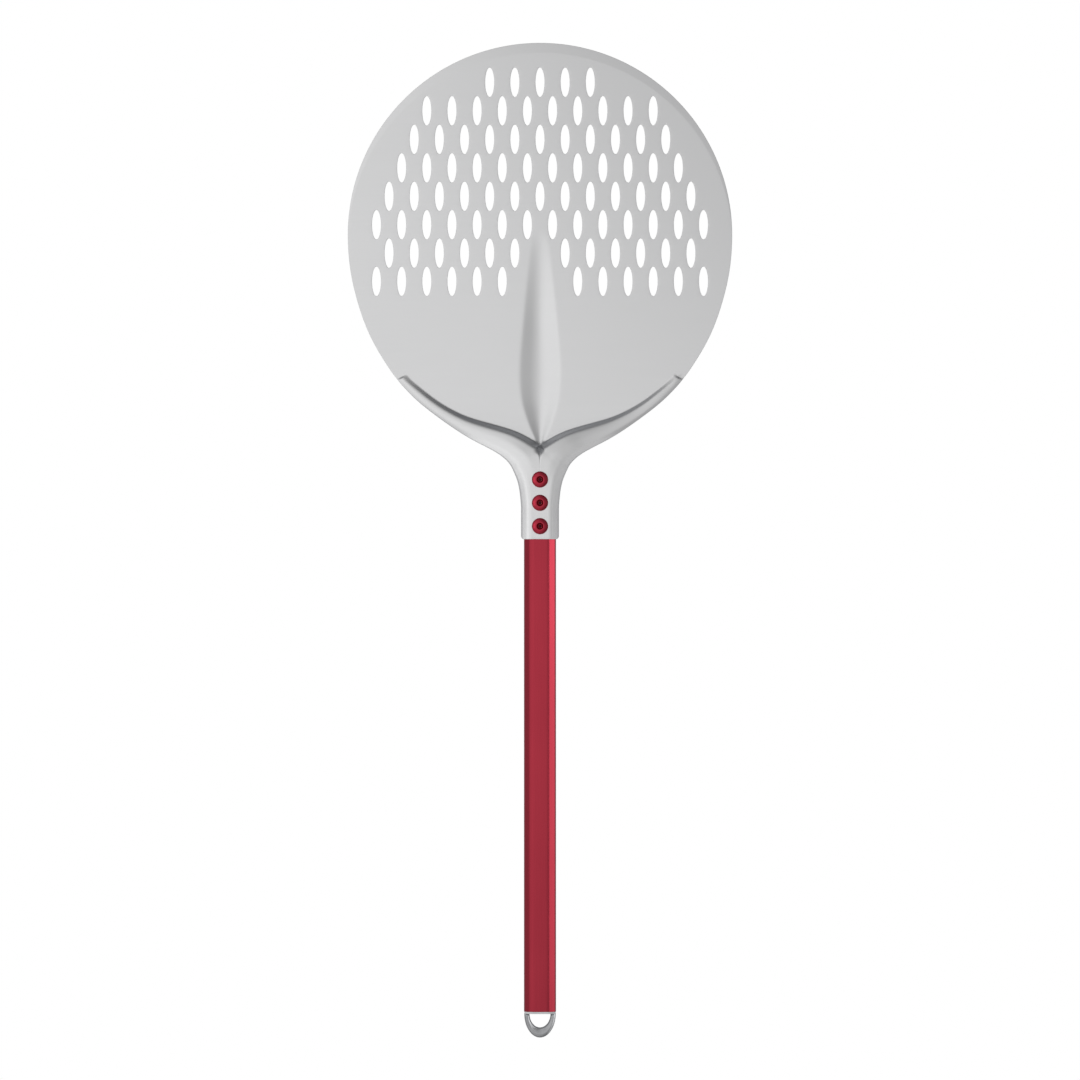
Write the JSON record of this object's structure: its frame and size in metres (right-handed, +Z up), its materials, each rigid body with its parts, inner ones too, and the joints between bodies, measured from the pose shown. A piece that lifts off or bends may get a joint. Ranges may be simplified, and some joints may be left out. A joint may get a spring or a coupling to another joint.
{
  "type": "pizza peel",
  "caption": "Round perforated pizza peel: pressed aluminium head with a central stiffening channel, riveted to a red eight-sided tube handle that ends in a hanging loop.",
  "frame": {"origin": "middle of the whole peel's box, on the surface that the peel lies on", "axes": "+Y from the handle to the front of the blade, +X across the blade to the right, +Z up out of the blade's upper face"},
  "size_m": [0.33, 0.8536, 0.0264],
  "materials": {
    "head_aluminium": "satin, fine brushing across the blade",
    "handle_red": "red anodised, satin",
    "rivet_red": "red anodised, semi-bright",
    "mandrel_steel": "snapped steel",
    "plug_plastic": "moulded, light grey",
    "loop_steel": "satin steel"
  },
  "bodies": {
    "root": {"peel_head": "head_aluminium", "handle_tube": "handle_red", "rivet_front": "rivet_red", "rivet_middle": "rivet_red", "rivet_rear": "rivet_red", "rivet_mandrel_front": "mandrel_steel", "rivet_mandrel_middle": "mandrel_steel", "rivet_mandrel_rear": "mandrel_steel", "end_plug": "plug_plastic", "hanging_loop": "loop_steel"}
  },
  "joints": []
}
